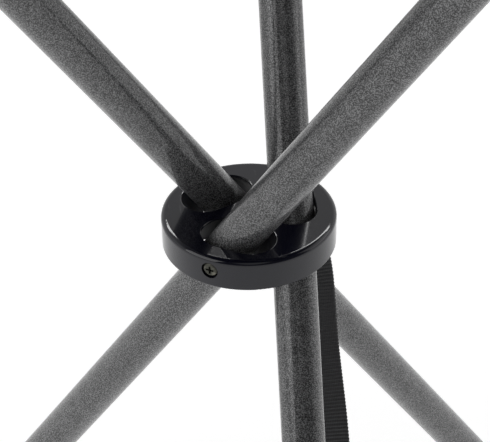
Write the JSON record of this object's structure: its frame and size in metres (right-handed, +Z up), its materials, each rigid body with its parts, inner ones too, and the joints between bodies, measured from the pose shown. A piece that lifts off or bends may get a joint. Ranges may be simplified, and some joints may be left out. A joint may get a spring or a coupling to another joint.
{
  "type": "folding tripod stool",
  "caption": "Folding stool: tubular legs cross in a slotted plastic hub, swing on radial screws and carry a sagging cloth seat; woven strap on the hub.",
  "frame": {"origin": "on the floor, below the middle of the whole open stool", "axes": "+Z up; the pivot screw of leg c points along +X from the hub axis"},
  "size_m": [0.3698, 0.3708, 0.5369],
  "materials": {
    "hammertone": "hammertone enamel",
    "hub_plastic": "glossy moulded",
    "screw_steel": "dark oiled steel",
    "zinc_steel": "zinc plated",
    "insert_brass": "turned",
    "nylon": "moulded nylon",
    "foot_rubber": "moulded rubber",
    "cap_plastic": "fine grain",
    "seat_cloth": "plain weave polyester",
    "webbing": "ribbed woven band"
  },
  "bodies": {
    "hub": {"hub": "hub_plastic", "seat_panel": "seat_cloth", "carry_strap": "webbing", "strap_screw": "screw_steel", "strap_washer": "zinc_steel", "pivot_screw_a": "screw_steel", "pivot_insert_a": "insert_brass", "pivot_screw_b": "screw_steel", "pivot_insert_b": "insert_brass", "pivot_screw_c": "screw_steel", "pivot_insert_c": "insert_brass"},
    "leg_a": {"leg_tube_a": "hammertone", "pivot_bushes_a": "nylon", "foot_a": "foot_rubber", "top_cap_a": "cap_plastic", "seat_pocket_a": "seat_cloth"},
    "leg_b": {"leg_tube_b": "hammertone", "pivot_bushes_b": "nylon", "foot_b": "foot_rubber", "top_cap_b": "cap_plastic", "seat_pocket_b": "seat_cloth"},
    "leg_c": {"leg_tube_c": "hammertone", "pivot_bushes_c": "nylon", "foot_c": "foot_rubber", "top_cap_c": "cap_plastic", "seat_pocket_c": "seat_cloth", "strap_rivet": "zinc_steel", "rivet_washer": "zinc_steel"}
  },
  "joints": [
    {"name": "leg_a_fold", "type": "hinge", "parent": "hub", "child": "leg_a", "pos_m": [0, 0.00885, 0.30475], "axis": [-0.5, -0.866, 0], "range_deg": [0, 34], "deforming": ["seat_panel"]},
    {"name": "leg_b_fold", "type": "hinge", "parent": "hub", "child": "leg_b", "pos_m": [0, 0.04279, 0.30475], "axis": [-0.5, 0.866, 0], "range_deg": [0, 34], "deforming": ["seat_panel"]},
    {"name": "leg_c_fold", "type": "hinge", "parent": "hub", "child": "leg_c", "pos_m": [0.0294, 0.02582, 0.30475], "axis": [1, 0, 0], "range_deg": [0, 34], "deforming": ["seat_panel", "carry_strap"]}
  ],
  "couplings": [
    {"joint": "leg_b_fold", "follows": "leg_a_fold", "ratio": 1},
    {"joint": "leg_c_fold", "follows": "leg_a_fold", "ratio": 1}
  ]
}
